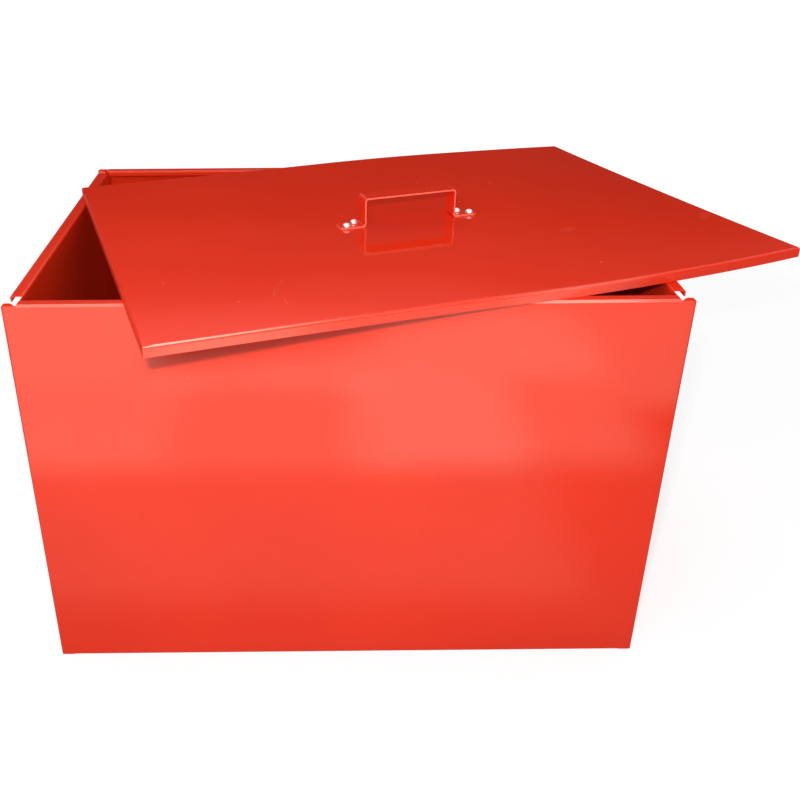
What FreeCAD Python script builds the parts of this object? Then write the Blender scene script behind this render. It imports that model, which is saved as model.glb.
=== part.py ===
import FreeCAD, Part
import math
import os

# Grit salt bin: a folded sheet-steel box with a loose folded lid, in millimetres.
# The origin is the centre of the bin's underside. X is across the front, from left to right.
# Y runs from the front face to the back, and Z is up.

# Bin body
bin_width = 750.0           # across the front panel, corner to corner
bin_depth = 535.0           # front face to back face
bin_height = 500.0          # floor to the top of the rim
wall_sheet = 1.5            # thickness of the body's steel sheet
wall_bend = 1.5             # inside radius of every bend in the body
rim_flange = 16.0           # front and back rims, measured from the outer face inwards
rim_lip = 7.5               # the rims' turned-down edge, from the top of the rim
foot_flange = 16.0          # bottom flanges that the base lies on, from the outer face inwards
rim_end_inset = 17.0        # the front and back rims stop this far in from the panel's ends
corner_drop = 1.0           # a panel's corners stop this far short of its flanges' faces
channel_depth = 8.5         # upright edge channels of the front and back panels, along Y
channel_lip = 12.0          # the channels' inward lip, along X
channel_lip_round = 4.5     # the lip's rounded upper corner
channel_top_round = 2.5     # the channel's rounded outer corner at the top
channel_slip = 0.25         # room round a side panel's edge in its channel

# Side panels
side_inset = 3.0            # the side rims stay this far inside the front panel's ends
side_rim = 15.5             # side rims, from the wall's inner face outwards
side_rim_setback = 27.5     # the side rims start this far behind the front face
side_notch = 10.0           # top corners of the side walls are cut down this far beside the lip
side_tab_drop = 0.5         # between its rim and the front panel's lip, the wall stops this far below the top
side_tab_gap = 0.5          # room between that stretch of wall and the lip

# Base
base_wall = 25.0            # upturned edge of the base, from its underside
base_slip = 0.25            # room between the base's edges and the walls

# Lid
lid_overhang = 8.0          # the lid reaches this far past the bin on each side
lid_height = 12.0           # from the lid's lower edge to its top face
lid_sheet = 1.5             # thickness of the lid's sheet
lid_bend = 1.5              # inside radius of the lid's bends
lid_seam = 0.4              # open seam where two edges of the lid meet
lid_turn = 17.9             # the lid lies askew, turned by this angle about Z
lid_shift_x = 79.0          # the askew lid's centre, from the bin's centre
lid_shift_y = -17.0

# Handle: one strap folded to a hat section
handle_shift_u = -0.5       # the handle's middle, from the lid's middle, along the lid's width
handle_shift_v = -9.5       # the same towards the lid's back edge
grip_length = 120.0         # clear length between the legs
grip_clearance = 35.0       # clear height under the grip
strap_width = 25.0
strap_sheet = 2.0
strap_bend = 2.0            # inside radius of the strap's bends
foot_length = 35.0          # each foot, from its leg's outer face
foot_corner = 6.0           # rounded corners at the feet's ends

# Blind rivets
rivet_bore_in = 9.3         # inner rivets, from the leg's outer face along the foot
rivet_pitch = 13.4          # outer rivets, this much further along the foot
rivet_inner_v = 3.0         # inner rivets lie this far behind the strap's middle line
rivet_outer_v = -7.0        # outer rivets lie before it, close to the front edge
rivet_diameter = 4.8
rivet_hole_slip = 0.05      # room round the shank in its hole, on the radius
rivet_head_diameter = 9.5
rivet_head_height = 3.0
dome_steps = (30, 60)       # the head's dome is faceted at these angles above its seat, in degrees
rivet_tail_diameter = 6.6   # the tail swells to this under the lid
rivet_tail_length = 5.5
rivet_swell = 1.6           # the tail swells over this length
pin_diameter = 2.7          # the mandrel that stays in the rivet
pin_slip = 0.02             # room round the mandrel, on the radius
pin_recess = 0.7            # the broken end lies this far below the head's crown
pin_head_diameter = 4.4
pin_head_length = 2.4
pin_bevel = 0.9             # bevel round the lower end of the mandrel's head

# Places that follow from the sizes above
half_width = bin_width / 2
half_depth = bin_depth / 2
wall_outer_bend = wall_bend + wall_sheet
wall_inner_x = half_width - side_inset - side_rim
rim_end_x = half_width - rim_end_inset
side_rim_end_y = half_depth - side_rim_setback
base_underside = wall_sheet
upright_foot = wall_outer_bend + channel_slip
lid_outer_bend = lid_bend + lid_sheet
lid_width = bin_width + 2 * lid_overhang
lid_depth = bin_depth + 2 * lid_overhang
lid_top = bin_height + lid_height
leg_outer_u = grip_length / 2 + strap_sheet
foot_end_u = leg_outer_u + foot_length


def vector(x, y, z):
    return FreeCAD.Vector(x, y, z)


def box(low, high):
    """Box between two corners."""
    size = [b - a for a, b in zip(low, high)]
    return Part.makeBox(size[0], size[1], size[2], vector(*low))


def skin(path, offset, mid_radius, place):
    """Edges of one face of a folded sheet, offset to the left of its middle line."""
    edges = []
    count = len(path)
    headings = []
    for k in range(count - 1):
        run = (path[k + 1][0] - path[k][0], path[k + 1][1] - path[k][1])
        length = math.hypot(run[0], run[1])
        headings.append((run[0] / length, run[1] / length))

    def beside(point, heading):
        return (point[0] - heading[1] * offset, point[1] + heading[0] * offset)

    start = beside(path[0], headings[0])
    for k in range(1, count - 1):
        before, after = headings[k - 1], headings[k]
        turn = math.atan2(before[0] * after[1] - before[1] * after[0], before[0] * after[0] + before[1] * after[1])
        trim = mid_radius * math.tan(abs(turn) / 2)
        tangent_in = (path[k][0] - before[0] * trim, path[k][1] - before[1] * trim)
        tangent_out = (path[k][0] + after[0] * trim, path[k][1] + after[1] * trim)
        side = math.copysign(1.0, turn)
        centre = (tangent_in[0] - before[1] * side * mid_radius, tangent_in[1] + before[0] * side * mid_radius)
        reach = math.hypot(path[k][0] - centre[0], path[k][1] - centre[1])
        radius = mid_radius - side * offset
        middle = (
            centre[0] + (path[k][0] - centre[0]) / reach * radius,
            centre[1] + (path[k][1] - centre[1]) / reach * radius,
        )
        arc_start = beside(tangent_in, before)
        arc_end = beside(tangent_out, after)
        edges.append(Part.LineSegment(place(*start), place(*arc_start)).toShape())
        edges.append(Part.Arc(place(*arc_start), place(*middle), place(*arc_end)).toShape())
        start = arc_end
    end = beside(path[-1], headings[-1])
    edges.append(Part.LineSegment(place(*start), place(*end)).toShape())
    return edges, end


def folded(path, sheet, inner_radius, place, extent):
    """Solid of a sheet folded along the path of its middle line and extruded by the vector extent."""
    mid_radius = inner_radius + sheet / 2
    left, left_end = skin(path, sheet / 2, mid_radius, place)
    right, right_end = skin(path, -sheet / 2, mid_radius, place)
    left_start = left[0].Vertexes[0].Point
    right_start = right[0].Vertexes[0].Point
    cap_start = Part.LineSegment(left_start, right_start).toShape()
    cap_end = Part.LineSegment(place(*left_end), place(*right_end)).toShape()
    outline = Part.Wire(Part.__sortEdges__(left + [cap_end] + right + [cap_start]))
    return Part.Face(outline).extrude(extent)


def turned(shape, degrees):
    """Copy of a shape turned about Z."""
    copy = shape.copy()
    copy.rotate(vector(0, 0, 0), vector(0, 0, 1), degrees)
    return copy


def corner_cut(x, z, radius, low_y, high_y):
    """Block that rounds an upper corner at x, z, along Y. A negative radius rounds the corner's left side."""
    reach = abs(radius)
    centre_x = x - radius
    xs = sorted((x, centre_x))
    block = box((xs[0], low_y, z - reach), (xs[1], high_y, z))
    round_bar = Part.makeCylinder(reach, high_y - low_y, vector(centre_x, low_y, z - reach), vector(0, 1, 0))
    return block.cut(round_bar)


def front_panel():
    """Tray with a lipped rim on top, a plain flange below and channels down both upright edges."""
    face_y = -half_depth + wall_sheet / 2
    channel_y = -half_depth + channel_depth - wall_sheet / 2
    edge_x = half_width - wall_sheet / 2
    lip_x = half_width - channel_lip
    plan = [
        (lip_x, channel_y),
        (edge_x, channel_y),
        (edge_x, face_y),
        (-edge_x, face_y),
        (-edge_x, channel_y),
        (-lip_x, channel_y),
    ]
    upright = folded(
        plan,
        wall_sheet,
        wall_bend,
        lambda x, y: vector(x, y, corner_drop),
        vector(0, 0, bin_height - 2 * corner_drop),
    )
    for low, high in ((0.0, wall_outer_bend), (bin_height - wall_outer_bend, bin_height)):
        span = box((-rim_end_x, -half_depth, low), (rim_end_x, -half_depth + channel_depth, high))
        upright = upright.cut(span)
    top = bin_height - corner_drop
    channel_back = -half_depth + channel_depth
    for sign in (-1, 1):
        outer = corner_cut(sign * half_width, top, sign * channel_top_round, -half_depth, channel_back)
        inner = corner_cut(sign * lip_x, top, -sign * channel_lip_round, channel_back - wall_sheet, channel_back)
        upright = upright.cut(outer).cut(inner)
    rim_y = -half_depth + rim_flange - wall_sheet / 2
    section = [
        (-half_depth + foot_flange, wall_sheet / 2),
        (face_y, wall_sheet / 2),
        (face_y, bin_height - wall_sheet / 2),
        (rim_y, bin_height - wall_sheet / 2),
        (rim_y, bin_height - rim_lip),
    ]
    across = folded(
        section,
        wall_sheet,
        wall_bend,
        lambda y, z: vector(-rim_end_x, y, z),
        vector(2 * rim_end_x, 0, 0),
    )
    return upright.fuse(across).removeSplitter()


def right_side_panel():
    """Wall set in from the corners, with an outward rim, an inward bottom flange and upright edges folded twice."""
    wall_x = wall_inner_x + wall_sheet / 2
    edge_y = half_depth - wall_sheet - channel_slip - wall_sheet / 2
    tuck_x = half_width - wall_outer_bend - channel_slip - wall_sheet / 2
    tuck_y = half_depth - channel_depth + wall_sheet + channel_slip
    plan = [
        (tuck_x, -tuck_y),
        (tuck_x, -edge_y),
        (wall_x, -edge_y),
        (wall_x, edge_y),
        (tuck_x, edge_y),
        (tuck_x, tuck_y),
    ]
    upright = folded(
        plan,
        wall_sheet,
        wall_bend,
        lambda x, y: vector(x, y, upright_foot),
        vector(0, 0, bin_height - side_tab_drop - upright_foot),
    )
    for low, high in ((0.0, wall_outer_bend), (bin_height - wall_outer_bend, bin_height)):
        bend = box((wall_inner_x, -side_rim_end_y, low), (wall_inner_x + wall_sheet, side_rim_end_y, high))
        upright = upright.cut(bend)
    tab_end_y = half_depth - rim_flange - side_tab_gap
    notch_low = bin_height - side_notch
    for ys in ((-half_depth, -tab_end_y), (tab_end_y, half_depth)):
        notch = box((wall_inner_x, ys[0], notch_low), (half_width, ys[1], bin_height))
        upright = upright.cut(notch)
    rim_x = half_width - side_inset - wall_sheet / 2
    section = [
        (wall_inner_x + wall_sheet - foot_flange, wall_sheet / 2),
        (wall_x, wall_sheet / 2),
        (wall_x, bin_height - wall_sheet / 2),
        (rim_x, bin_height - wall_sheet / 2),
        (rim_x, bin_height - rim_lip),
    ]
    across = folded(
        section,
        wall_sheet,
        wall_bend,
        lambda x, z: vector(x, -side_rim_end_y, z),
        vector(0, 2 * side_rim_end_y, 0),
    )
    return upright.fuse(across).removeSplitter()


def base_panel():
    """Shallow pan that lies on the four bottom flanges, with open corners."""
    reach_x = wall_inner_x - base_slip
    reach_y = half_depth - wall_sheet - base_slip
    floor_z = base_underside + wall_sheet / 2
    edge_z = base_underside + base_wall
    parts = []
    for reach, span, place, along in (
        (reach_x, reach_y, lambda a, z: vector(a, -reach_y + wall_outer_bend, z), vector(0, 1, 0)),
        (reach_y, reach_x, lambda a, z: vector(-reach_x + wall_outer_bend, a, z), vector(1, 0, 0)),
    ):
        edge = reach - wall_sheet / 2
        section = [(-edge, edge_z), (-edge, floor_z), (edge, floor_z), (edge, edge_z)]
        length = 2 * (span - wall_outer_bend)
        parts.append(folded(section, wall_sheet, wall_bend, place, along * length))
    return parts[0].fuse(parts[1]).removeSplitter()


def rounded_block(width, depth, height, radius):
    """Block centred on Z, from z = 0 up, with its four top edges rounded."""
    blocks = []
    for across, place, extent in (
        (width, lambda a, z: vector(a, -depth / 2, z), vector(0, depth, 0)),
        (depth, lambda a, z: vector(-width / 2, a, z), vector(width, 0, 0)),
    ):
        half = across / 2
        knee = radius * (1 - math.sqrt(0.5))
        corners = [place(-half, 0), place(-half, height - radius), place(-half + knee, height - knee)]
        corners += [place(-half + radius, height), place(half - radius, height)]
        corners += [place(half - knee, height - knee), place(half, height - radius), place(half, 0)]
        edges = [
            Part.LineSegment(corners[0], corners[1]).toShape(),
            Part.Arc(corners[1], corners[2], corners[3]).toShape(),
            Part.LineSegment(corners[3], corners[4]).toShape(),
            Part.Arc(corners[4], corners[5], corners[6]).toShape(),
            Part.LineSegment(corners[6], corners[7]).toShape(),
            Part.LineSegment(corners[7], corners[0]).toShape(),
        ]
        blocks.append(Part.Face(Part.Wire(edges)).extrude(extent))
    return blocks[0].common(blocks[1])


def rivet_places():
    """Name, u and v of each rivet on the lid, with u along the lid's width and v towards its back edge."""
    places = []
    for side, sign in (("left", -1), ("right", 1)):
        inner = leg_outer_u + rivet_bore_in
        for row, along, across in (("inner", inner, rivet_inner_v), ("outer", inner + rivet_pitch, rivet_outer_v)):
            places.append((side + "_" + row, handle_shift_u + sign * along, handle_shift_v + across))
    return places


def drilled(shape, low, high):
    """Shape with the four rivet holes cut through it between two heights."""
    radius = rivet_diameter / 2 + rivet_hole_slip
    for _, u, v in rivet_places():
        shape = shape.cut(Part.makeCylinder(radius, high - low, vector(u, v, low)))
    return shape


def lid():
    """Shallow lid with its four edges turned down, drilled for the handle."""
    outer = rounded_block(lid_width, lid_depth, lid_height, lid_outer_bend)
    inner = rounded_block(
        lid_width - 2 * lid_sheet,
        lid_depth - 2 * lid_sheet,
        lid_height - lid_sheet,
        lid_bend,
    )
    shape = outer.cut(inner)
    seam_top = lid_height - lid_outer_bend
    seam_x = lid_width / 2 - lid_sheet
    seam_y = lid_depth / 2 - lid_sheet
    for sign_x in (-1, 1):
        for sign_y in (-1, 1):
            xs = sorted((sign_x * seam_x, sign_x * (seam_x + lid_sheet)))
            ys = sorted((sign_y * seam_y, sign_y * (seam_y - lid_seam)))
            shape = shape.cut(box((xs[0], ys[0], 0.0), (xs[1], ys[1], seam_top)))
    shape.translate(vector(0, 0, bin_height))
    return drilled(shape, lid_top - lid_sheet, lid_top)


def lid_handle():
    """Strap handle: foot, leg, grip, leg and foot in one folded strip."""
    foot_z = lid_top + strap_sheet / 2
    grip_z = lid_top + grip_clearance + strap_sheet / 2
    leg_u = grip_length / 2 + strap_sheet / 2
    path = [(-foot_end_u, foot_z), (-leg_u, foot_z), (-leg_u, grip_z)]
    path += [(leg_u, grip_z), (leg_u, foot_z), (foot_end_u, foot_z)]
    strap = folded(
        path,
        strap_sheet,
        strap_bend,
        lambda u, z: vector(u, -strap_width / 2, z),
        vector(0, strap_width, 0),
    )
    ends = [
        edge
        for edge in strap.Edges
        if abs(abs(edge.CenterOfMass.x) - foot_end_u) < 1e-6 and abs(edge.Length - strap_sheet) < 1e-6
    ]
    strap = strap.makeFillet(foot_corner, ends)
    strap.translate(vector(handle_shift_u, handle_shift_v, 0))
    return drilled(strap, lid_top, lid_top + strap_sheet)


def revolved(profile, u, v):
    """Solid of revolution of a closed profile of points (r, z) about the upright axis at u, v."""
    corners = [vector(u + r, v, z) for r, z in profile]
    outline = Part.makePolygon(corners + corners[:1])
    return Part.Face(outline).revolve(vector(u, v, 0), vector(0, 0, 1), 360)


def rivet_shell(u, v):
    """Dome-headed tubular rivet, set through strap and lid, with its swollen tail below."""
    seat = lid_top + strap_sheet
    under = lid_top - lid_sheet
    end = under - rivet_tail_length
    bore = pin_diameter / 2 + pin_slip
    head = rivet_head_diameter / 2
    shank = rivet_diameter / 2
    tail = rivet_tail_diameter / 2

    def on_dome(angle):
        return (head * math.cos(angle), seat + rivet_head_height * math.sin(angle))

    profile = [(bore, end), on_dome(math.acos(bore / head))]
    profile += [on_dome(math.radians(angle)) for angle in reversed(dome_steps)]
    profile += [(head, seat), (shank, seat), (shank, under), (tail, under - rivet_swell), (tail, end)]
    return revolved(profile, u, v)


def rivet_pin(u, v):
    """Mandrel that stays in the rivet: broken stem above, bevelled head against the tail below."""
    broken = lid_top + strap_sheet + rivet_head_height - pin_recess
    end = lid_top - lid_sheet - rivet_tail_length
    stem = pin_diameter / 2
    head = pin_head_diameter / 2
    low = end - pin_head_length
    profile = [(0, low), (0, broken), (stem, broken), (stem, end), (head, end)]
    profile += [(head, low + pin_bevel), (head - pin_bevel, low)]
    return revolved(profile, u, v)


def on_lid(shape):
    """Shape moved from the lid's own place at the bin's centre to where the lid lies."""
    moved = turned(shape, lid_turn)
    moved.translate(vector(lid_shift_x, lid_shift_y, 0))
    return moved


def build():
    """Every piece of the bin by its name."""
    front = front_panel()
    right = right_side_panel()
    pieces = {
        "front_panel": front,
        "back_panel": turned(front, 180),
        "right_side_panel": right,
        "left_side_panel": turned(right, 180),
        "base_panel": base_panel(),
        "lid": on_lid(lid()),
        "lid_handle": on_lid(lid_handle()),
    }
    for name, u, v in rivet_places():
        pieces["rivet_" + name] = on_lid(rivet_shell(u, v))
        pieces["rivet_pin_" + name] = on_lid(rivet_pin(u, v))
    return pieces


os.makedirs("parts", exist_ok=True)
for node, solid in build().items():
    print(node, solid.ShapeType, len(solid.Solids), solid.isValid(), round(solid.Volume), solid.BoundBox)
    solid.exportStep("parts/" + node + ".step")
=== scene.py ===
import math

import bmesh
import bpy
from mathutils import Matrix, Vector


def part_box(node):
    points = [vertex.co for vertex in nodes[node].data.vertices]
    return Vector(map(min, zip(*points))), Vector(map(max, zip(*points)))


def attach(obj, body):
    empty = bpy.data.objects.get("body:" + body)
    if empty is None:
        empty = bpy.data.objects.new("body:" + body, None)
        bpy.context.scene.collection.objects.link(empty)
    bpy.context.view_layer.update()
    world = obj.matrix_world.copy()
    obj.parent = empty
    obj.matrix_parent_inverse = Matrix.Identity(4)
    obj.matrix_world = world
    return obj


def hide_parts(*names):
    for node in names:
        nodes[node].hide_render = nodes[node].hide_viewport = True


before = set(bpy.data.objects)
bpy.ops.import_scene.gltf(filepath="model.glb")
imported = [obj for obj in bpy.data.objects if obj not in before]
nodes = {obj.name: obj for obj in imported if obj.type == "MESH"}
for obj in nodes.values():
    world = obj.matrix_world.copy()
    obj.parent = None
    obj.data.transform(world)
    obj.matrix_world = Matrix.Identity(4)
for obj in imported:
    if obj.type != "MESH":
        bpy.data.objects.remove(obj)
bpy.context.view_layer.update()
scene = bpy.context.scene


def middle_of(name):
    """Middle of a CAD node's box, at the height of the floor."""
    low, high = (Vector(corner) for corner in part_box(name))
    return Vector(((low.x + high.x) / 2, (low.y + high.y) / 2, 0))


# Camera, in metres and degrees, as the photograph's edges give it
CAMERA_PLACE = (-0.0322, -1.2202, 0.9109)
CAMERA_YAW = -0.24
CAMERA_DOWN = 28.32
CAMERA_ROLL = -0.38
SENSOR_WIDTH = 36.0
LENS = 43.32
SHIFT = (0.0956, -0.0162)

# The lid as it lies: its middle comes from the CAD model, and its turn is the askew lid's
LID_TURN = math.radians(17.9)
LID_PLACE = Matrix.Translation(middle_of("lid")) @ Matrix.Rotation(LID_TURN, 4, "Z")
LID_TOP = Vector(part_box("lid")[1]).z
SHEET = 0.0015              # thickness of the steel sheet
WELD_GAP = 1e-6             # vertices closer than this are one

# The real lid isn't flat or straight. Middles and reaches are in half widths from the lid's middle
CORNER_RISE = 0.008         # front right corner, up
RISING = 4                  # power by which it grows from the lid's middle to the right
CORNER_DROOP = 0.006        # back right corner, down
DROOPING = 2                # the same for the droop
DROOP_START = 0.25          # the droop starts this far right of the middle
EDGE_BOW = 0.0050           # front edge, outwards
BOW_MIDDLE = 0.28
BOW_REACH = 0.35
FRONT_FADING = 2            # power by which the bow and the front corner's rise fade backwards
BACK_RISE = 0.0024          # back edge, up, and fading fast towards the handle
RISE_MIDDLE = 0.10
RISE_REACH = 0.40
RISE_FADING = 6
GRID_ACROSS = 64            # cells that the lid is cut into so that it can bend
GRID_DEEP = 18

# Handle: a bent strap that lies on the lid with both feet
STRAP_SHEET = 0.002
STRAP_WIDTH = 0.025
STRAP_BEND = 0.003          # radius of the bends, to the middle of the sheet
BEND_STEPS = 8
LEG_MIDDLE = 0.061          # from the handle's middle to the middle of a leg's sheet
GRIP_RISE = 0.035           # from the middle of the feet's sheet to the middle of the grip's
FOOT_END = 0.0935           # from the handle's middle to a foot's end
FOOT_CORNER = 0.005
CORNER_STEPS = 6

# Rivets: heads, tails and broken mandrels
RIVET_NAMES = ("left_inner", "left_outer", "right_inner", "right_outer")
HEAD_RADIUS = 0.0052
HEAD_HEIGHT = 0.0044
HEAD_SKIRT = 0.0006         # upright edge of the head above its seat
HEAD_BEVEL = 0.0002         # and the slope under it
HEAD_FULLNESS = 2.2         # 2 is an ellipse, and more has steeper flanks
HEAD_STEPS = 14
BORE_RADIUS = 0.00137
BORE_LIP = 0.00035          # rounded lip round the bore at the crown
SHANK_RADIUS = 0.0024
TAIL_RADIUS = 0.0033
TAIL_LENGTH = 0.0055
SWELL_ROUND = 0.0012        # the tail swells out below the lid's sheet, and narrows at its end
SWELL_DEPTH = 0.0016
NECK_ROUND = 0.0006
NECK_INSET = 0.0009
PIN_RADIUS = 0.00135
PIN_RECESS = 0.0007
PIN_HEAD_RADIUS = 0.0022
PIN_HEAD_LENGTH = 0.0024
PIN_HEAD_ROUND = 0.0009
PIN_BEVEL = 0.00025
TORN_END = ((0, 0.0002), (0.0004, 0.00012), (0.0007, -0.00015))     # its relief, as (radius, height)
LIP_ARC = (90, 180, 4)      # rounded parts of the profiles: start and end in degrees, steps
SWELL_ARC = (60, -40, 6)
NECK_ARC = (0, -90, 4)
PIN_HEAD_ARC = (0, -75, 5)
TURNED_SEGMENTS = 40

# Cut edges of the sheets are rounded by their coating
EDGE_ROUND = 0.0006
FINE_ROUND = 0.0004         # the same on the handle
EDGE_SEGMENTS = 2
EDGE_ANGLE = math.radians(50)
SHADE_WEIGHT = 80           # how much large faces count in the shading of small ones beside them
FLAT_ANGLE = math.radians(0.5)      # faces that meet at less are one

# Lamps: name, place, target, size, power. The strip lights nothing but shows in glossy edges
LAMPS = (
    ("flash", (-0.0694, -1.2202, 1.0035), (0, 0, 0.3), (0.035, 0.025), 11),
    ("front_soft", (-0.9, -2.2, 2.0), (0, 0, 0.3), (1.6, 1.2), 11),
    ("back_soft", (-0.5, 1.7, 2.9), (0, 0, 0.3), (1.4, 1.4), 10),
)
EDGE_STRIP = ("edge_strip", (1.15, -1.6, 1.42), (0.2, -0.2, 0.5), (1.4, 0.12), 12)

# Light card just above the floor, for the glossy front to mirror. Its pale patches were placed to
# match the photograph's glow: left, right, near, far, how much the far edge tilts, radiance
CARD_PATCHES = (
    (-1.00, 0.34, -0.36, -0.72, 0.0, 0.68),
    (-1.00, 0.55, -0.70, -1.03, 0.0, 1.8),
    (-1.00, -0.30, -0.70, -1.03, 0.0, 0.8),
    (0.03, 0.33, -0.70, -1.03, 0.0, 1.6),
    (-1.10, -0.38, -1.03, -1.60, 0.0, 3.2),
    (-0.38, 0.10, -1.00, -1.19, 0.33, 2.8),
    (0.10, 0.55, -1.03, -1.24, 0.33, 3.3),
    (0.55, 1.05, -0.90, -1.50, 0.0, 1.8),
    (-0.14, 0.38, -1.40, -1.62, 0.0, 3.2),
    (1.00, 1.65, -0.85, -1.35, 0.0, 0.5),
)
CARD_HEIGHT = 0.012
CARD_SOFTNESS = 0.06        # a patch fades from this far inside its edges to this far outside
CARD_EDGE = (-1.2, 1.75, -1.7, -0.3)
CARD_TINT = (1.0, 1.0, 0.80)

# Colours, linear
RED = (0.82, 0.034, 0.009)
RED_DEEP = (0.76, 0.029, 0.007)
RED_PALE = (0.86, 0.050, 0.020)
RED_EDGE = (0.98, 0.19, 0.13)       # painted highlight on the sheets' cut edges, for the light that their rounding catches
RED_EDGE_DEEP = (0.94, 0.15, 0.10)
RED_EDGE_PALE = (1.00, 0.27, 0.20)
RED_RIM = (0.90, 0.075, 0.040)      # a fainter painted highlight on the lid's cut edges
RED_HIGHLIGHT = (1.00, 0.42, 0.32)       # and palest, a painted highlight on bends
DUST = (0.85, 0.30, 0.22)
ALUMINIUM = (0.92, 0.91, 0.90)
ALUMINIUM_DULL = (0.78, 0.77, 0.76)
STEEL = (0.30, 0.29, 0.28)
STEEL_DARK = (0.12, 0.11, 0.10)
FLOOR = (0.36, 0.36, 0.36)

# Bare metal: roughness, depth of the turning marks and of the dents
RIVET_FINISH = (0.36, 0.000003, 0.00002)
PIN_FINISH = (0.35, 0.000004, 0.00003)
DULL_NOISE = (420.0, 4.0, 0.6)
DULL_RANGE = (0.35, 0.7)
DULL_HAZE = 0.2
TURNING_NOISE = (1400.0, 2.0)
TURNING_SQUASH = 9.0        # the turning marks are lines, so their noise is squashed in height
DENT_NOISE = (650.0, 1.0)

# Floor
FLOOR_DARKER = 0.97         # shade of its darker patches, as a share of its own
FLOOR_NOISE = (1.5, 4.0)
FLOOR_RANGE = (0.3, 0.7)
FLOOR_MIXING = (0.0, 0.5)   # how much of the darker shade there is, from clean places to patches
FLOOR_ROUGHNESS = 0.6
FLOOR_REACH = 30.0
GLOW_NEAR = 0.70            # what the floor adds to its shade where it is seen
GLOW_FAR = 0.85
GLOW_START = 1.2            # the glow grows between these distances from the object
GLOW_END = 3.0
GLOW_MIRRORED = 0.1         # share of that glow which glossy and clear surfaces show

# Coat. Its noise is (waves a metre, detail, roughness), and a range is the values where it counts
COAT_IOR = 1.5
COAT_GLOSS = 0.32           # strength of the coat's reflection, as the shader's own level
DRIFT_NOISE = (3.0, 3.0)
DRIFT_RANGE = (0.3, 0.7)
CLOUD_NOISE = (38.0, 4.0, 0.6)
CLOUD_RANGE = (0.55, 0.85)
RUB_NOISE = (9.0, 5.0, 0.65)
RUB_RANGE = (0.45, 0.75)
SPECK_NOISE = (19.0, 1.0)
SPECK_RANGE = (0.60, 0.68)
SPECK_CELLS = 75.0          # cells a metre, with at most one speck in each
SPECK_REACH = (0.03, 0.055)     # a speck is full to the first reach, in cells, and ends at the second
RIPPLE_NOISE = (6.0, 1.0)
PEEL_NOISE = (430.0, 1.0)

# How rough the coat is, from its clean patches to its rubbed ones
HAZE = (0.09, 0.13)
LID_HAZE = (0.035, 0.06)
LID_EDGE_HAZE = (0.10, 0.16)
EDGE_HAZE = (0.15, 0.25)
SMUDGE_HAZE = 0.15          # added in smudges, in dust and on the lid's left fold
DUST_HAZE = 0.5
MATT_HAZE = 0.45

# How much of the dust's colour specks, marks and scratches take
SPECK_SHARE = 0.25
MARK_SHARE = 0.35
SCRATCH_SHARE = 0.13
CLOUD_SHARE = 0.22          # and of the pale red the cloudy patches
MARK_CORE = 0.5             # a mark is full to this share of its reach

# Height of the coat's unevenness: slow waves, orange peel and grit
RIPPLE = 0.0006
PEEL = 0.00003
GRIT = 0.0001

# The bend under the front panel's rim has a paler coat where it faces forwards and up, which stands
# in for the flash's light on it. The paleness grows and fades between these places along the width
BEND_FACING = (0, -math.sqrt(0.5), math.sqrt(0.5))
BEND_COSINES = (0.72, 0.82)
BEND_PALENESS = 0.57
BEND_GROWS = (-0.1, 0.2)
BEND_LEFT_SHARE = 0.55      # of that paleness, left of where it grows
BEND_FADES = (0.27, 0.35)
BEND_RIGHT_SHARE = 0.3      # and right of where it fades

# The lid's front fold is paler in the same way, a painted highlight, in one stretch of its right half
# and towards its left end, where it is palest in a line along the bend at its top
FOLD_COSINES = (0.3, 0.5)
FOLD_GROWS = (0.15, 0.23)
FOLD_FADES = (0.29, 0.37)
STRETCH_PALENESS = 0.14
FOLD_PALENESS = 0.12
FOLD_LEFT = (-0.24, 0.05)
FOLD_LINE = (0.0017, 0.0010)        # how far below the lid's top the line starts, and is full
LEFT_COSINES = (0.3, 0.9)   # and for the matt left fold

# Studio: plain light from all round, and white where it is seen. What glossy surfaces show of it is
# pale at the horizon, dim above it and white higher up. Each step goes from one upward part of a
# direction to another
AMBIENT = 0.55
HORIZON_STEP = (0.04, 0.12)
WALL_STEP = (0.305, 0.350)
CEILING_STEP = (0.36, 0.50)
HORIZON = 0.25
WALLS = 0.03
WALLS_HIGH = 0.08           # the walls' upper part
CEILING = 1.0

# Marks on the lid's top: place along its width and depth, reach along and across, turn in degrees
LID_MARKS = (
    (0.150, -0.224, 0.0022, 0.0014, 30),
    (0.175, 0.101, 0.0018, 0.0018, 0),
    (0.076, 0.136, 0.0018, 0.0014, 0),
    (-0.334, 0.023, 0.0016, 0.0012, 60),
    (-0.336, -0.123, 0.0018, 0.0012, 20),
    (-0.270, -0.199, 0.0016, 0.0016, 0),
)
LID_SCRATCHES = (
    (0.213, -0.219, 0.014, 0.0010, 5),
    (0.228, -0.214, 0.008, 0.0008, -28),
    (-0.228, -0.188, 0.014, 0.0008, 70),
    (-0.223, -0.212, 0.014, 0.0007, 84),
    (-0.214, -0.164, 0.012, 0.0007, 52),
)
LID_SMUDGES = ((0.365, -0.128, 0.020, 0.010, 40), (0.175, -0.112, 0.016, 0.009, 10))
FACE_SCRATCHES = ((-0.180, 0.410, 0.0018, 0.0018, 0), (-0.308, 0.048, 0.0020, 0.0014, 0))


def make_camera():
    """Camera where the photographer stood, looking down into the bin."""
    data = bpy.data.cameras.new("camera")
    data.sensor_width = SENSOR_WIDTH
    data.lens = LENS
    data.shift_x, data.shift_y = SHIFT
    camera = bpy.data.objects.new("camera", data)
    scene.collection.objects.link(camera)
    turn = (
        Matrix.Rotation(math.radians(CAMERA_YAW), 4, "Z")
        @ Matrix.Rotation(math.radians(90 - CAMERA_DOWN), 4, "X")
        @ Matrix.Rotation(math.radians(CAMERA_ROLL), 4, "Z")
    )
    camera.matrix_world = Matrix.Translation(CAMERA_PLACE) @ turn
    scene.camera = camera


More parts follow.
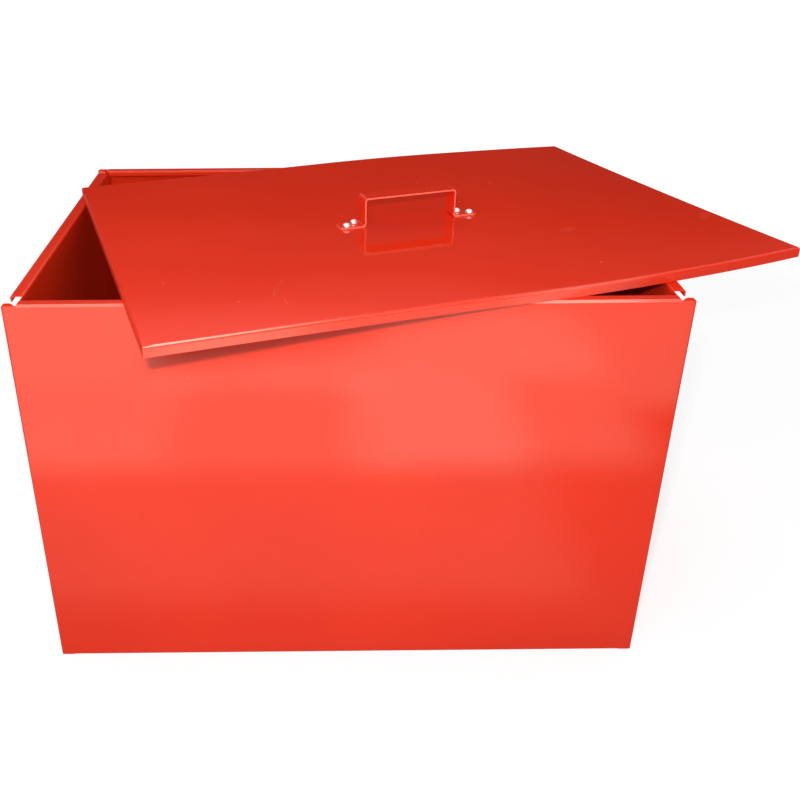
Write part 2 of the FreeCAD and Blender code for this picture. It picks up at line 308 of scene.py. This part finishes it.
def area_light(name, place, target, size, power):
    """Soft rectangular light at place, facing target, that the camera doesn't see."""
    data = bpy.data.lights.new(name, "AREA")
    data.shape = "RECTANGLE"
    data.size, data.size_y = size
    data.energy = power
    light = bpy.data.objects.new(name, data)
    scene.collection.objects.link(light)
    light.location = place
    light.rotation_mode = "QUATERNION"
    light.rotation_quaternion = (Vector(target) - Vector(place)).to_track_quat("-Z", "Y")
    light.visible_camera = False
    return light


def add(tree, kind, inputs=None, **settings):
    """Shader node of a kind, whose inputs are set to values or linked to sockets."""
    made = tree.nodes.new(kind)
    for name, value in settings.items():
        setattr(made, name, value)
    for name, value in (inputs or {}).items():
        if isinstance(value, bpy.types.NodeSocket):
            tree.links.new(value, made.inputs[name])
        else:
            made.inputs[name].default_value = value
    return made


def rgba(colour):
    return (*colour, 1.0)


def new_material(name):
    """Material with its node tree, its shader and the object's own coordinates."""
    material = bpy.data.materials.new(name)
    material.use_nodes = True
    tree = material.node_tree
    shader = tree.nodes["Principled BSDF"]
    place = add(tree, "ShaderNodeTexCoord").outputs["Object"]
    return material, tree, shader, place


def noise(tree, place, scale, detail=2.0, roughness=0.5):
    """Value of a noise texture of so many waves a metre."""
    inputs = {"Vector": place, "Scale": scale, "Detail": detail, "Roughness": roughness}
    return add(tree, "ShaderNodeTexNoise", inputs).outputs["Fac"]


def spread(tree, value, low, high, to_low=0.0, to_high=1.0, smooth=True):
    """Value between low and high, mapped to between to_low and to_high."""
    inputs = {"Value": value, "From Min": low, "From Max": high, "To Min": to_low, "To Max": to_high}
    kind = "SMOOTHSTEP" if smooth else "LINEAR"
    return add(tree, "ShaderNodeMapRange", inputs, interpolation_type=kind).outputs["Result"]


def blend_colour(tree, share, first, second):
    """Colour between two, each a plain colour or a socket."""
    mix = add(tree, "ShaderNodeMix", data_type="RGBA")
    for socket, value in ((mix.inputs[0], share), (mix.inputs[6], first), (mix.inputs[7], second)):
        if isinstance(value, bpy.types.NodeSocket):
            tree.links.new(value, socket)
        else:
            socket.default_value = rgba(value)
    return mix.outputs[2]


def combine(tree, operation, first, second):
    """Maths of two values."""
    made = add(tree, "ShaderNodeMath", {0: first, 1: second}, operation=operation)
    return made.outputs[0]


def bump(tree, height, distance, under=None):
    """Normal of a surface that is uneven by a height, over the unevenness that lies under it."""
    inputs = {"Height": height, "Distance": distance}
    if under is not None:
        inputs["Normal"] = under
    return add(tree, "ShaderNodeBump", inputs).outputs["Normal"]


def spots(tree, place, marks, at):
    """Share from 0 to 1 that is 1 at the middle of each mark and 0 outside it."""
    total = 0.0
    for first, second, along, across, turn in marks:
        centre, angle = at(first, second, turn)
        mapping = add(
            tree,
            "ShaderNodeMapping",
            {"Vector": place, "Location": centre, "Rotation": angle, "Scale": (along, across, across)},
            vector_type="TEXTURE",
        )
        reach = add(tree, "ShaderNodeVectorMath", {0: mapping.outputs[0]}, operation="LENGTH")
        share = spread(tree, reach.outputs["Value"], MARK_CORE, 1.0, 1.0, 0.0)
        total = share if isinstance(total, float) else combine(tree, "MAXIMUM", total, share)
    return total


def on_lid_top(along, across, turn):
    """Centre and turn of a mark on the lid's top face."""
    centre = LID_PLACE @ Vector((along, across, LID_TOP))
    return centre, (0, 0, LID_TURN + math.radians(turn))


def on_front_face(along, height, turn):
    """Centre and turn of a mark on the front panel's face."""
    return (along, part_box("front_panel")[0][1], height), (0, math.radians(turn), 0)


def facing(tree, direction, low, high):
    """Share from 0 to 1 that grows as a surface turns to face a direction."""
    normal = add(tree, "ShaderNodeNewGeometry").outputs["Normal"]
    turned = add(tree, "ShaderNodeVectorMath", {0: normal, 1: direction}, operation="DOT_PRODUCT")
    return spread(tree, turned.outputs["Value"], low, high)


def lid_left(tree):
    """How much rougher the coat of the lid's left fold is."""
    return facing(tree, LID_PLACE.to_3x3() @ Vector((-1, 0, 0)), *LEFT_COSINES)


def front_bend_highlight(tree, place, paleness):
    """How pale the front panel's coat is painted as a highlight: most on the bend under its rim, right of
    its middle.
    """
    share = facing(tree, BEND_FACING, *BEND_COSINES)
    across = add(tree, "ShaderNodeSeparateXYZ", {0: place}).outputs["X"]
    share = combine(tree, "MULTIPLY", share, spread(tree, across, *BEND_GROWS, BEND_LEFT_SHARE, 1.0))
    fading = spread(tree, across, *BEND_FADES, paleness, BEND_RIGHT_SHARE * paleness)
    return combine(tree, "MULTIPLY", share, fading)


def lid_fold_highlight(tree, place, paleness):
    """How pale the coat of the lid's front fold is painted as a highlight: most along the bend at its left
    end.
    """
    share = facing(tree, LID_PLACE.to_3x3() @ Vector((0, -1, 0)), *FOLD_COSINES)
    axes = add(tree, "ShaderNodeSeparateXYZ", {0: place})
    across = axes.outputs["X"]
    stretch = spread(tree, across, *FOLD_GROWS, 0.0, STRETCH_PALENESS)
    stretch = combine(tree, "MULTIPLY", stretch, spread(tree, across, *FOLD_FADES, 1.0, 0.0))
    low, high = (LID_TOP - depth for depth in FOLD_LINE)
    left = spread(tree, axes.outputs["Z"], low, high, paleness, 1.0)
    left = combine(tree, "MULTIPLY", left, spread(tree, across, *FOLD_LEFT, 1.0, 0.0))
    return combine(tree, "MULTIPLY", share, combine(tree, "ADD", stretch, left))


def red_coat(name, shades, haze, marks=(), scratches=(), smudges=(), at=None, painted_highlight=None, matt=None):
    """Glossy red powder coat: slow drift of shade, orange peel, dust and rubbed patches.

    The painted highlight, if given, is a function and its paleness for where the coat is painted paler,
    and matt a function for where it is rougher. At gives the place of a mark, scratch or smudge.
    """
    material, tree, shader, place = new_material(name)
    deep, middle, pale = shades
    drift = spread(tree, noise(tree, place, *DRIFT_NOISE), *DRIFT_RANGE)
    colour = blend_colour(tree, drift, deep, middle)
    cloud = spread(tree, noise(tree, place, *CLOUD_NOISE), *CLOUD_RANGE, 0.0, CLOUD_SHARE)
    colour = blend_colour(tree, cloud, colour, pale)
    # painted highlight: the coat turns paler where light would catch it
    if painted_highlight:
        highlight_share, paleness = painted_highlight
        colour = blend_colour(tree, highlight_share(tree, place, paleness), colour, RED_HIGHLIGHT)
    cells = add(tree, "ShaderNodeTexVoronoi", {"Vector": place, "Scale": SPECK_CELLS})
    grain = spread(tree, cells.outputs["Distance"], *SPECK_REACH, 1.0, 0.0)
    chance = spread(tree, noise(tree, place, *SPECK_NOISE), *SPECK_RANGE)
    dust = combine(tree, "MULTIPLY", combine(tree, "MULTIPLY", grain, chance), SPECK_SHARE)
    for flaws, strength in ((marks, MARK_SHARE), (scratches, SCRATCH_SHARE)):
        if flaws:
            share = combine(tree, "MULTIPLY", spots(tree, place, flaws, at), strength)
            dust = combine(tree, "MAXIMUM", dust, share)
    colour = blend_colour(tree, dust, colour, DUST)
    tree.links.new(colour, shader.inputs["Base Color"])
    rubbed = spread(tree, noise(tree, place, *RUB_NOISE), *RUB_RANGE, *haze)
    if smudges:
        smudged = combine(tree, "MULTIPLY", spots(tree, place, smudges, at), SMUDGE_HAZE)
        rubbed = combine(tree, "ADD", rubbed, smudged)
    if matt:
        rubbed = combine(tree, "ADD", rubbed, combine(tree, "MULTIPLY", matt(tree), MATT_HAZE))
    rough = combine(tree, "ADD", rubbed, combine(tree, "MULTIPLY", dust, DUST_HAZE))
    tree.links.new(rough, shader.inputs["Roughness"])
    ripple = bump(tree, noise(tree, place, *RIPPLE_NOISE), RIPPLE)
    peel = bump(tree, noise(tree, place, *PEEL_NOISE), PEEL, ripple)
    grit = bump(tree, dust, GRIT, peel)
    tree.links.new(grit, shader.inputs["Normal"])
    shader.inputs["IOR"].default_value = COAT_IOR
    shader.inputs["Specular IOR Level"].default_value = COAT_GLOSS
    return material


def bare_metal(name, bright, dull, roughness, turning, dents):
    """Bare metal with dull patches, fine turning marks and small dents."""
    material, tree, shader, place = new_material(name)
    patch = spread(tree, noise(tree, place, *DULL_NOISE), *DULL_RANGE)
    tree.links.new(blend_colour(tree, patch, bright, dull), shader.inputs["Base Color"])
    rough = combine(tree, "ADD", combine(tree, "MULTIPLY", patch, DULL_HAZE), roughness)
    tree.links.new(rough, shader.inputs["Roughness"])
    shader.inputs["Metallic"].default_value = 1.0
    squashed = add(tree, "ShaderNodeMapping", {"Vector": place, "Scale": (1.0, 1.0, TURNING_SQUASH)})
    scored = bump(tree, noise(tree, squashed.outputs[0], *TURNING_NOISE), turning)
    dented = bump(tree, noise(tree, place, *DENT_NOISE), dents, scored)
    tree.links.new(dented, shader.inputs["Normal"])
    return material


def floor_material():
    """Pale floor with a glow where it is seen, so that it is white and keeps the object's shadow."""
    material, tree, shader, place = new_material("floor")
    shade = spread(tree, noise(tree, place, *FLOOR_NOISE), *FLOOR_RANGE, *FLOOR_MIXING)
    darker = tuple(channel * FLOOR_DARKER for channel in FLOOR)
    tree.links.new(blend_colour(tree, shade, FLOOR, darker), shader.inputs["Base Color"])
    shader.inputs["Roughness"].default_value = FLOOR_ROUGHNESS
    path = add(tree, "ShaderNodeLightPath")
    mirrored = combine(tree, "MAXIMUM", path.outputs["Is Glossy Ray"], path.outputs["Is Transmission Ray"])
    mirrored = combine(tree, "MULTIPLY", mirrored, GLOW_MIRRORED)
    seen = combine(tree, "MAXIMUM", path.outputs["Is Camera Ray"], mirrored)
    reach = add(tree, "ShaderNodeVectorMath", {0: place}, operation="LENGTH").outputs["Value"]
    amount = spread(tree, reach, GLOW_START, GLOW_END, GLOW_NEAR, GLOW_FAR)
    glow = add(tree, "ShaderNodeEmission", {"Strength": combine(tree, "MULTIPLY", seen, amount)})
    both = add(tree, "ShaderNodeAddShader", {0: shader.outputs[0], 1: glow.outputs[0]})
    tree.links.new(both.outputs[0], tree.nodes["Material Output"].inputs["Surface"])
    return material


def make_floor():
    """Plain pale floor far larger than the view."""
    mesh = bpy.data.meshes.new("floor")
    reach = FLOOR_REACH
    corners = [(-reach, -reach, 0), (reach, -reach, 0), (reach, reach, 0), (-reach, reach, 0)]
    mesh.from_pydata(corners, [], [(0, 1, 2, 3)])
    mesh.materials.append(floor_material())
    floor = bpy.data.objects.new("floor", mesh)
    scene.collection.objects.link(floor)


def soft_step(tree, value, start, rising):
    """0 to 1 across a patch's edge, or 1 to 0 where it isn't rising."""
    ends = (0.0, 1.0) if rising else (1.0, 0.0)
    return spread(tree, value, start - CARD_SOFTNESS, start + CARD_SOFTNESS, *ends)


def card_material():
    """Clear sheet whose patches glow."""
    material, tree, shader, place = new_material("light_card")
    tree.nodes.remove(shader)
    axes = add(tree, "ShaderNodeSeparateXYZ", {0: place})
    total = 0.0
    across, deep = axes.outputs["X"], axes.outputs["Y"]
    for left, right, near, far, tilt, radiance in CARD_PATCHES:
        tilted = combine(tree, "ADD", deep, combine(tree, "MULTIPLY", across, tilt))
        share = radiance
        edges = ((across, left, True), (across, right, False), (tilted, far, True), (deep, near, False))
        for value, start, rising in edges:
            share = combine(tree, "MULTIPLY", soft_step(tree, value, start, rising), share)
        total = combine(tree, "ADD", share, total)
    glow = add(tree, "ShaderNodeEmission", {"Color": rgba(CARD_TINT), "Strength": total})
    clear = add(tree, "ShaderNodeBsdfTransparent")
    both = add(tree, "ShaderNodeAddShader", {0: clear.outputs[0], 1: glow.outputs[0]})
    tree.links.new(both.outputs[0], tree.nodes["Material Output"].inputs["Surface"])
    material.cycles.emission_sampling = "NONE"
    return material


def make_card():
    """Light card in front of the bin that only glossy surfaces show."""
    left, right, far, near = CARD_EDGE
    mesh = bpy.data.meshes.new("light_card")
    corners = [(x, y, CARD_HEIGHT) for x, y in ((left, far), (right, far), (right, near), (left, near))]
    mesh.from_pydata(corners, [], [(0, 1, 2, 3)])
    mesh.materials.append(card_material())
    card = bpy.data.objects.new("light_card", mesh)
    scene.collection.objects.link(card)
    for kind in ("camera", "diffuse", "transmission", "volume_scatter", "shadow"):
        setattr(card, "visible_" + kind, False)


def make_world():
    """Studio of plain light, white behind the object, whose walls are dim where they are mirrored."""
    world = bpy.data.worlds.new("studio")
    scene.world = world
    world.use_nodes = True
    tree = world.node_tree
    direction = add(tree, "ShaderNodeTexCoord").outputs["Generated"]
    height = add(tree, "ShaderNodeSeparateXYZ", {0: direction}).outputs["Z"]
    low = spread(tree, height, *HORIZON_STEP, HORIZON - WALLS, 0.0)
    wall = spread(tree, height, *WALL_STEP, WALLS, WALLS_HIGH)
    high = spread(tree, height, *CEILING_STEP, wall, CEILING)
    look = combine(tree, "ADD", low, high)
    path = add(tree, "ShaderNodeLightPath")
    mirrored = combine(tree, "MAXIMUM", path.outputs["Is Glossy Ray"], path.outputs["Is Transmission Ray"])
    strength = spread(tree, mirrored, 0.0, 1.0, AMBIENT, look, smooth=False)
    strength = combine(tree, "MAXIMUM", strength, path.outputs["Is Camera Ray"])
    background = tree.nodes["Background"]
    background.inputs["Color"].default_value = rgba((1.0, 1.0, 1.0))
    tree.links.new(strength, background.inputs["Strength"])


def new_piece(name, mesh, materials, body, replaced):
    """Object of a finished mesh that stands for a CAD node."""
    piece = bpy.data.objects.new(name, mesh)
    scene.collection.objects.link(piece)
    for material in materials:
        mesh.materials.append(material)
    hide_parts(replaced)
    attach(piece, body)
    return piece


def hump(value, middle, reach):
    """Bell curve that is 1 at its middle."""
    return math.exp(-(((value - middle) / reach) ** 2))


def lid_shift(across, deep):
    """How far the lid's sheet is bent outwards and up, at a place in half widths and half depths."""
    ahead = (1 - deep) / 2
    behind = (1 + deep) / 2
    outwards = EDGE_BOW * hump(across, BOW_MIDDLE, BOW_REACH) * ahead**FRONT_FADING
    rise = CORNER_RISE * max(0.0, across) ** RISING * ahead**FRONT_FADING
    rise -= CORNER_DROOP * max(0.0, (across - DROOP_START) / (1 - DROOP_START)) ** DROOPING * behind
    rise += BACK_RISE * hump(across, RISE_MIDDLE, RISE_REACH) * behind**RISE_FADING
    return Vector((0, -outwards, rise))


def bevel_edges(piece, width):
    """Edges rounded as a coat of powder leaves them, in the piece's second material, which paints a
    highlight on them.
    """
    bevel = piece.modifiers.new("edges", "BEVEL")
    bevel.material = 1
    bevel.width = width
    bevel.segments = EDGE_SEGMENTS
    bevel.limit_method = "ANGLE"
    bevel.angle_limit = EDGE_ANGLE
    bevel.use_clamp_overlap = True
    bevel.miter_outer = "MITER_ARC"
    shade = piece.modifiers.new("shade", "WEIGHTED_NORMAL")
    shade.mode = "FACE_AREA"
    shade.weight = SHADE_WEIGHT


def warped_lid(materials):
    """The lid's sheet, cut into a grid and bent as the real one lies."""
    grid = bmesh.new()
    grid.from_mesh(nodes["lid"].data)
    grid.transform(LID_PLACE.inverted())
    bmesh.ops.remove_doubles(grid, verts=grid.verts, dist=WELD_GAP)
    bmesh.ops.dissolve_limit(grid, angle_limit=FLAT_ANGLE, verts=grid.verts, edges=grid.edges)
    half_width = max(vert.co.x for vert in grid.verts)
    half_depth = max(vert.co.y for vert in grid.verts)
    cuts = [((half_width * (2 * k / GRID_ACROSS - 1), 0, 0), (1, 0, 0)) for k in range(1, GRID_ACROSS)]
    cuts += [((0, half_depth * (2 * k / GRID_DEEP - 1), 0), (0, 1, 0)) for k in range(1, GRID_DEEP)]
    for middle, normal in cuts:
        geometry = grid.verts[:] + grid.edges[:] + grid.faces[:]
        bmesh.ops.bisect_plane(grid, geom=geometry, plane_co=middle, plane_no=normal)
    for vert in grid.verts:
        vert.co += lid_shift(vert.co.x / half_width, vert.co.y / half_depth)
    grid.transform(LID_PLACE)
    mesh = bpy.data.meshes.new("lid_sheet")
    grid.to_mesh(mesh)
    grid.free()
    mesh.shade_smooth()
    bevel_edges(new_piece("lid_sheet", mesh, materials, "lid", "lid"), EDGE_ROUND)


def turned_mesh(name, profile, middle):
    """Mesh turned about an upright axis. The ends of its profile of (radius, height) lie on it or meet."""
    turned = bmesh.new()
    verts = [turned.verts.new((radius, 0, height)) for radius, height in profile]
    edges = [turned.edges.new(pair) for pair in zip(verts, verts[1:])]
    bmesh.ops.spin(
        turned,
        geom=verts + edges,
        cent=(0, 0, 0),
        axis=(0, 0, 1),
        angle=2 * math.pi,
        steps=TURNED_SEGMENTS,
        use_merge=True,
    )
    bmesh.ops.remove_doubles(turned, verts=turned.verts, dist=WELD_GAP)
    bmesh.ops.recalc_face_normals(turned, faces=turned.faces)
    turned.transform(Matrix.Translation(middle))
    mesh = bpy.data.meshes.new(name)
    turned.to_mesh(mesh)
    turned.free()
    mesh.shade_smooth()
    return mesh


def arc(middle, radius, start, end, steps):
    """Points (r, z) of an arc between two angles in degrees."""
    points = []
    for k in range(steps + 1):
        angle = math.radians(start + (end - start) * k / steps)
        points.append((middle[0] + radius * math.cos(angle), middle[1] + radius * math.sin(angle)))
    return points


def rivet_profile(seat, under):
    """Closed profile of a rivet's shell: domed head, shank through the sheets and swollen tail."""
    dome = []
    rise = HEAD_HEIGHT - HEAD_SKIRT
    power = 2 / HEAD_FULLNESS
    for k in range(HEAD_STEPS + 1):
        angle = math.pi / 2 * k / HEAD_STEPS
        radius = HEAD_RADIUS * math.cos(angle) ** power
        if radius > BORE_RADIUS + BORE_LIP:
            dome.append((radius, seat + HEAD_SKIRT + rise * math.sin(angle) ** power))
    crown = dome[-1][1]
    lip = arc((BORE_RADIUS + BORE_LIP, crown - BORE_LIP), BORE_LIP, *LIP_ARC)
    tail_end = under - TAIL_LENGTH
    swell = arc((TAIL_RADIUS - SWELL_ROUND, under - SWELL_DEPTH), SWELL_ROUND, *SWELL_ARC)
    neck = arc((TAIL_RADIUS - NECK_INSET, tail_end + NECK_ROUND), NECK_ROUND, *NECK_ARC)
    foot = [(HEAD_RADIUS - HEAD_BEVEL, seat), (HEAD_RADIUS, seat + HEAD_BEVEL)]
    profile = [(BORE_RADIUS, tail_end)] + lip[::-1] + dome[::-1] + foot[::-1]
    profile += [(SHANK_RADIUS, seat), (SHANK_RADIUS, under)] + swell + neck
    return profile + profile[:1]


def pin_profile(seat, under):
    """Profile of the mandrel: torn end, stem and the head that the tail is pulled round."""
    torn = seat + HEAD_HEIGHT - PIN_RECESS
    end = under - TAIL_LENGTH
    low = end - PIN_HEAD_LENGTH
    profile = [(radius, torn + rise) for radius, rise in TORN_END]
    profile += [(PIN_RADIUS - PIN_BEVEL, torn), (PIN_RADIUS, torn - PIN_BEVEL), (PIN_RADIUS, end)]
    profile += [(PIN_HEAD_RADIUS, end)]
    foot = (PIN_HEAD_RADIUS - PIN_HEAD_ROUND, low + PIN_HEAD_ROUND)
    return profile + arc(foot, PIN_HEAD_ROUND, *PIN_HEAD_ARC) + [(0, low)]


def make_rivets(metal, steel):
    """Detailed shells and mandrels in the places of the CAD ones."""
    seat = LID_TOP + STRAP_SHEET
    under = LID_TOP - SHEET
    for name in RIVET_NAMES:
        middle = middle_of("rivet_" + name)
        shell = turned_mesh("rivet_shell_" + name, rivet_profile(seat, under), middle)
        new_piece("rivet_shell_" + name, shell, [metal], "lid", "rivet_" + name)
        pin = turned_mesh("rivet_mandrel_" + name, pin_profile(seat, under), middle)
        new_piece("rivet_mandrel_" + name, pin, [steel], "lid", "rivet_pin_" + name)


def strap_stations():
    """Middle line of the strap's section from foot to foot, as (along, height, half the width there)."""
    seat = LID_TOP + STRAP_SHEET / 2
    top = seat + GRIP_RISE
    line = arc((LEG_MIDDLE - STRAP_BEND, top - STRAP_BEND), STRAP_BEND, 90, 0, BEND_STEPS)
    line += arc((LEG_MIDDLE + STRAP_BEND, seat + STRAP_BEND), STRAP_BEND, 180, 270, BEND_STEPS)
    stations = [(along, height, STRAP_WIDTH / 2) for along, height in line]
    for k in range(CORNER_STEPS, -1, -1):
        angle = math.pi / 2 * k / CORNER_STEPS
        along = FOOT_END - FOOT_CORNER * (1 - math.cos(angle))
        stations.append((along, seat, STRAP_WIDTH / 2 - FOOT_CORNER * (1 - math.sin(angle))))
    return [(-along, height, half) for along, height, half in stations[::-1]] + stations


def make_strap(materials):
    """The handle's strap, bent round its line, with a painted highlight on its cut edges, and rounded
    feet.
    """
    stations = strap_stations()
    points = [Vector((along, height)) for along, height, _ in stations]
    runs = [(second - first).normalized() for first, second in zip(points, points[1:])]
    strap = bmesh.new()
    rings = []
    for (along, height, half), before, after in zip(stations, runs[:1] + runs, runs + runs[-1:]):
        run = (before + after).normalized()
        rise = Vector((-run.y, run.x)) * STRAP_SHEET / 2 / run.dot(after)
        corners = ((1, -half), (1, half), (-1, half), (-1, -half))
        ring = [(along + up * rise.x, deep, height + up * rise.y) for up, deep in corners]
        rings.append([strap.verts.new(corner) for corner in ring])
    for first, second in zip(rings, rings[1:]):
        for k in range(4):
            face = strap.faces.new((first[k], first[k - 1], second[k - 1], second[k]))
            # cut edges take the second material, paler as a painted highlight
            face.material_index = 1 if k % 2 == 0 else 0
    for end in (rings[0], rings[-1]):
        strap.faces.new(end).material_index = 1
    bmesh.ops.recalc_face_normals(strap, faces=strap.faces)
    strap.transform(Matrix.Translation(middle_of("lid_handle")) @ Matrix.Rotation(LID_TURN, 4, "Z"))
    mesh = bpy.data.meshes.new("handle_strap")
    strap.to_mesh(mesh)
    strap.free()
    mesh.shade_smooth()
    bevel_edges(new_piece("handle_strap", mesh, materials, "lid", "lid_handle"), FINE_ROUND)


def dress_sheets(materials, edge):
    """Material and rounded cut edges for each sheet that stays as the CAD model has it."""
    for name, material in materials.items():
        node = nodes[name]
        for slot in node.material_slots:
            slot.material = material
        # the second material, for the rounded cut edges, is paler as a painted highlight
        node.data.materials.append(edge)
        weld = node.modifiers.new("weld", "WELD")
        weld.merge_threshold = WELD_GAP
        flat = node.modifiers.new("flat", "DECIMATE")
        flat.decimate_type = "DISSOLVE"
        flat.angle_limit = FLAT_ANGLE
        bevel_edges(node, EDGE_ROUND)


make_camera()
for lamp in LAMPS:
    area_light(*lamp)
strip = area_light(*EDGE_STRIP)
strip.visible_diffuse = False
make_world()
make_floor()
make_card()

reds = (RED_DEEP, RED, RED_PALE)
coat = red_coat("red_coat", reds, HAZE)
# cut edges are paler, a painted highlight for the light their rounding catches
edge_highlight_coat = red_coat("red_coat_edge_highlight", (RED_EDGE_DEEP, RED_EDGE, RED_EDGE_PALE), EDGE_HAZE)
# the front panel's coat has a painted highlight on the bend under its rim
face_coat = red_coat(
    "red_coat_front",
    reds,
    HAZE,
    scratches=FACE_SCRATCHES,
    at=on_front_face,
    painted_highlight=(front_bend_highlight, BEND_PALENESS),
)
# the lid's coat has a painted highlight along its front fold
lid_coat = red_coat(
    "red_coat_lid",
    reds,
    LID_HAZE,
    marks=LID_MARKS,
    scratches=LID_SCRATCHES,
    smudges=LID_SMUDGES,
    at=on_lid_top,
    painted_highlight=(lid_fold_highlight, FOLD_PALENESS),
    matt=lid_left,
)
# the lid's cut edges are paler, a painted highlight, most along its front fold's left end
lid_edge_highlight = red_coat(
    "red_coat_lid_edge",
    (RED, RED_RIM, RED_EDGE_DEEP),
    LID_EDGE_HAZE,
    painted_highlight=(lid_fold_highlight, 1.0),
    matt=lid_left,
)
rivet_metal = bare_metal("rivet_aluminium", ALUMINIUM, ALUMINIUM_DULL, *RIVET_FINISH)
pin_metal = bare_metal("mandrel_steel", STEEL, STEEL_DARK, *PIN_FINISH)
warped_lid([lid_coat, lid_edge_highlight])
make_strap([coat, edge_highlight_coat])
make_rivets(rivet_metal, pin_metal)
dress_sheets(
    {
        "front_panel": face_coat,
        "back_panel": coat,
        "left_side_panel": coat,
        "right_side_panel": coat,
        "base_panel": coat,
    },
    edge_highlight_coat,
)

scene.view_settings.view_transform = "Standard"
